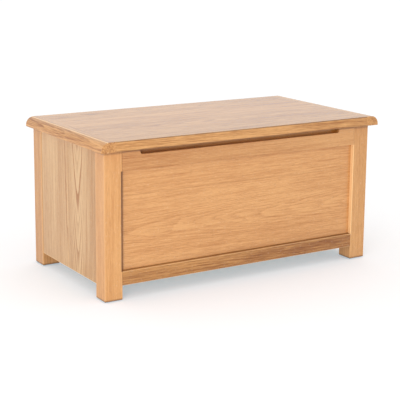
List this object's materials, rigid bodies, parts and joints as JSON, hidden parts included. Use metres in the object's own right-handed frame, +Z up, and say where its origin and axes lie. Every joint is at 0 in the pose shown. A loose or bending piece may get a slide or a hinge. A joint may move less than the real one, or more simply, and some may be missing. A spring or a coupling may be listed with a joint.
{
  "type": "wooden chest",
  "caption": "Low rectangular oak storage chest on square legs, with a hinged overhanging lid, recessed front panel and finger notch under the lid.",
  "frame": {"origin": "on the floor, under the centre of the lid", "axes": "+X along the chest to its right-hand end, +Y from the front to the back, +Z up"},
  "size_m": [0.9, 0.474, 0.429],
  "materials": {
    "oak_legs": "satin waxed oak, vertical grain",
    "oak_rails": "satin waxed oak, long grain",
    "oak_front_panel": "satin waxed oak, horizontal grain",
    "oak_sides": "satin waxed oak, vertical grain",
    "oak_lid": "satin waxed oak, long grain",
    "oak_lid_ends": "satin waxed oak, grain front to back",
    "oak_back_panel": "satin oak, horizontal grain",
    "oak_floor": "sanded oak, long grain",
    "oak_battens": "sanded oak",
    "hinge_brass": "satin brass",
    "stay_steel": "brushed zinc-plated steel",
    "screw_steel": "zinc-plated steel",
    "felt": "brown felt",
    "nylon": "matte brown nylon"
  },
  "bodies": {
    "chest": {"back_bottom_rail": "oak_rails", "back_panel": "oak_back_panel", "back_top_rail": "oak_rails", "cleat_screws": "screw_steel", "floor_board_1": "oak_floor", "floor_board_2": "oak_floor", "floor_board_3": "oak_floor", "floor_board_4": "oak_floor", "floor_cleat_back": "oak_battens", "floor_cleat_front": "oak_battens", "floor_cleat_left": "oak_battens", "floor_cleat_right": "oak_battens", "floor_screws": "screw_steel", "front_bottom_rail": "oak_rails", "front_panel": "oak_front_panel", "front_top_rail": "oak_rails", "hinge_leaf_body_left": "hinge_brass", "hinge_leaf_body_right": "hinge_brass", "hinge_pin_left": "hinge_brass", "hinge_pin_right": "hinge_brass", "hinge_screws_body": "hinge_brass", "leg_back_left": "oak_legs", "leg_back_right": "oak_legs", "leg_front_left": "oak_legs", "leg_front_right": "oak_legs", "leg_glides": "nylon", "lid_buffers": "felt", "side_batten_left": "oak_battens", "side_batten_right": "oak_battens", "side_board_left_back": "oak_sides", "side_board_left_front": "oak_sides", "side_board_right_back": "oak_sides", "side_board_right_front": "oak_sides", "stay_screws_body": "stay_steel", "stay_stud": "stay_steel"},
    "lid": {"hinge_leaf_lid_left": "hinge_brass", "hinge_leaf_lid_right": "hinge_brass", "hinge_screws_lid": "hinge_brass", "lid_batten_left": "oak_battens", "lid_batten_right": "oak_battens", "lid_batten_screws": "screw_steel", "lid_board_1": "oak_lid", "lid_board_2": "oak_lid", "lid_board_3": "oak_lid", "lid_board_4": "oak_lid", "lid_end_board_left": "oak_lid_ends", "lid_end_board_right": "oak_lid_ends", "stay_bracket": "stay_steel", "stay_rivet": "stay_steel", "stay_screws_lid": "stay_steel"},
    "stay_arm": {"stay_arm": "stay_steel"}
  },
  "joints": [
    {"name": "lid_hinge", "type": "hinge", "parent": "chest", "child": "lid", "pos_m": [0, 0.2285, 0.40075], "axis": [-1, 0, 0], "range_deg": [0, 95]},
    {"name": "stay_pivot", "type": "hinge", "parent": "lid", "child": "stay_arm", "pos_m": [0.3883, 0.09913, 0.388], "axis": [1, 0, 0], "range_deg": [0, 48]}
  ],
  "couplings": [
    {"joint": "stay_pivot", "follows": "lid_hinge", "ratio": 0.5}
  ]
}
